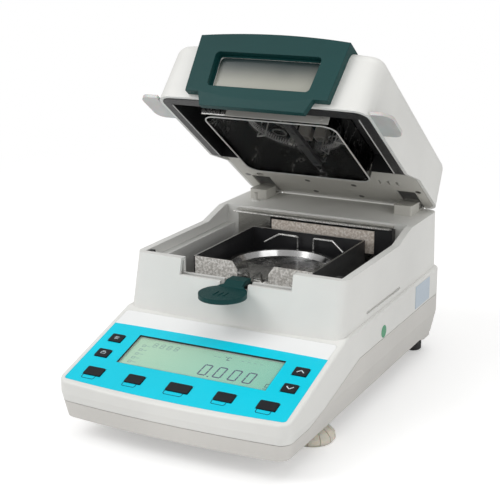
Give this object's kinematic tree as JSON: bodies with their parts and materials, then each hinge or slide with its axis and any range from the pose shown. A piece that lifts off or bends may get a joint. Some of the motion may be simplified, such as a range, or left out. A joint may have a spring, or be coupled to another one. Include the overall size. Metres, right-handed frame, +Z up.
{
  "type": "moisture analyzer",
  "caption": "Benchtop moisture analyzer: a balance with a heated chamber under a hinged lid with a ring lamp, sloped keypad and display, draft shield, lifter and pan.",
  "frame": {"origin": "middle of the footprint at the bottom of the feet, lid open as at rest", "axes": "+X to the instrument's right as its user sees it, +Y to its back, +Z up"},
  "size_m": [0.232, 0.3681, 0.3088],
  "materials": {
    "body_plastic": "fine-textured off-white moulding",
    "lower_plastic": "fine-textured grey-white moulding",
    "overlay_cyan": "satin printed film",
    "lcd_cover": "clear window",
    "lcd_green": "lit liquid-crystal panel",
    "board_green": "circuit board",
    "key_dark": "satin dark rubber",
    "teal_plastic": "glossy dark teal",
    "window_smoke": "smoked clear window",
    "grip_clear": "light grey satin",
    "frame_black": "heat-proof black",
    "reflector_metal": "polished sheet",
    "clear_glass": "clear heat-proof glass",
    "lamp_glass": "quartz tube with coiled filament",
    "ceramic_white": "fired ceramic",
    "sheet_black": "black coated sheet",
    "sheet_steel": "brushed sheet",
    "stone_plate": "speckled heat-proof board",
    "plate_speckled": "speckled grey panel",
    "wire_steel": "bright wire",
    "pan_aluminium": "bright pressed foil dish",
    "plate_grey": "light grey moulding",
    "rubber_dark": "soft rubber",
    "foot_beige": "translucent beige moulding",
    "socket_black": "black moulding",
    "alloy": "milled",
    "screw_zinc": "zinc plated",
    "core_iron": "laminated core",
    "plate_blank": "bare pale film",
    "sticker_green": "bare round film"
  },
  "bodies": {
    "base": {"lower_housing": "lower_plastic", "upper_housing": "body_plastic", "keypad_overlay": "overlay_cyan", "lcd_window": "lcd_cover", "lcd_module": "lcd_green", "display_board": "board_green", "load_cell_block": "alloy", "load_cell": "alloy", "load_carrier": "sheet_steel", "pan_carrier": "sheet_steel", "chamber_floor": "sheet_steel", "heat_plate": "sheet_steel", "rear_baffle": "sheet_black", "baffle_plate": "stone_plate", "corner_bumpers": "rubber_dark", "hinge_brackets": "plate_grey", "hinge_pins": "screw_zinc", "rear_pads": "rubber_dark", "power_inlet": "socket_black", "serial_port": "sheet_steel", "main_board": "board_green", "power_transformer": "core_iron", "side_plate": "plate_blank", "round_sticker": "sticker_green"},
    "lid": {"lid_shell": "body_plastic", "hinge_leaves": "plate_grey", "lid_bezel": "teal_plastic", "lid_window": "window_smoke", "lid_grip_left": "grip_clear", "lid_grip_right": "grip_clear", "lid_frame": "frame_black", "reflector": "reflector_metal", "heat_glass": "clear_glass", "ring_lamp": "lamp_glass", "lamp_sockets": "ceramic_white", "sensor_bridge": "sheet_black", "temperature_probe": "sheet_steel", "lid_rear_plate": "plate_grey", "lid_screws": "screw_zinc"},
    "shield": {"draft_shield": "sheet_black", "shield_front_plates": "plate_speckled"},
    "lifter": {"lifter_wire": "wire_steel", "lifter_grip": "teal_plastic"},
    "pan": {"sample_pan": "pan_aluminium"},
    "button_menu": {"key_menu": "key_dark"},
    "button_print": {"key_print": "key_dark"},
    "button_power": {"key_power": "key_dark"},
    "button_start": {"key_start": "key_dark"},
    "button_tare": {"key_tare": "key_dark"},
    "button_select": {"key_select": "key_dark"},
    "button_enter": {"key_enter": "key_dark"},
    "button_up": {"key_up": "key_dark"},
    "button_down": {"key_down": "key_dark"},
    "switch_pin": {"lid_switch_pin": "plate_grey"},
    "rocker": {"power_rocker": "socket_black"},
    "foot_left": {"level_foot_left": "foot_beige"},
    "foot_right": {"level_foot_right": "foot_beige"}
  },
  "joints": [
    {"name": "lid_hinge", "type": "hinge", "parent": "base", "child": "lid", "pos_m": [0, 0.157, 0.1325], "axis": [-1, 0, 0], "range_deg": [-35, 0]},
    {"name": "shield_lift", "type": "slide", "parent": "base", "child": "shield", "axis": [0, 0, 1], "range_m": [0, 0.05]},
    {"name": "lifter_lift", "type": "slide", "parent": "base", "child": "lifter", "axis": [0, 0, 1], "range_m": [0, 0.045]},
    {"name": "pan_lift", "type": "slide", "parent": "lifter", "child": "pan", "axis": [0, 0, 1], "range_m": [0, 0.015]},
    {"name": "press_menu", "type": "slide", "parent": "base", "child": "button_menu", "axis": [0, 0.284, -0.9588], "range_m": [0, 0.0005], "stiffness_N_per_m": 1500},
    {"name": "press_print", "type": "slide", "parent": "base", "child": "button_print", "axis": [0, 0.284, -0.9588], "range_m": [0, 0.0005], "stiffness_N_per_m": 1500},
    {"name": "press_power", "type": "slide", "parent": "base", "child": "button_power", "axis": [0, 0.284, -0.9588], "range_m": [0, 0.0005], "stiffness_N_per_m": 1500},
    {"name": "press_start", "type": "slide", "parent": "base", "child": "button_start", "axis": [0, 0.284, -0.9588], "range_m": [0, 0.0005], "stiffness_N_per_m": 1500},
    {"name": "press_tare", "type": "slide", "parent": "base", "child": "button_tare", "axis": [0, 0.284, -0.9588], "range_m": [0, 0.0005], "stiffness_N_per_m": 1500},
    {"name": "press_select", "type": "slide", "parent": "base", "child": "button_select", "axis": [0, 0.284, -0.9588], "range_m": [0, 0.0005], "stiffness_N_per_m": 1500},
    {"name": "press_enter", "type": "slide", "parent": "base", "child": "button_enter", "axis": [0, 0.284, -0.9588], "range_m": [0, 0.0005], "stiffness_N_per_m": 1500},
    {"name": "press_up", "type": "slide", "parent": "base", "child": "button_up", "axis": [0, 0.284, -0.9588], "range_m": [0, 0.0005], "stiffness_N_per_m": 1500},
    {"name": "press_down", "type": "slide", "parent": "base", "child": "button_down", "axis": [0, 0.284, -0.9588], "range_m": [0, 0.0005], "stiffness_N_per_m": 1500},
    {"name": "switch_press", "type": "slide", "parent": "base", "child": "switch_pin", "axis": [0, 0, -1], "range_m": [0, 0.0025], "stiffness_N_per_m": 400},
    {"name": "rocker_tip", "type": "hinge", "parent": "base", "child": "rocker", "pos_m": [-0.03, 0.156, 0.07], "axis": [1, 0, 0], "range_deg": [0, 12]},
    {"name": "foot_left_turn", "type": "hinge", "parent": "base", "child": "foot_left", "pos_m": [-0.0815, -0.091, 0], "axis": [0, 0, 1], "range_deg": [-720, 720]},
    {"name": "foot_right_turn", "type": "hinge", "parent": "base", "child": "foot_right", "pos_m": [0.0815, -0.091, 0], "axis": [0, 0, 1], "range_deg": [-720, 720]}
  ]
}
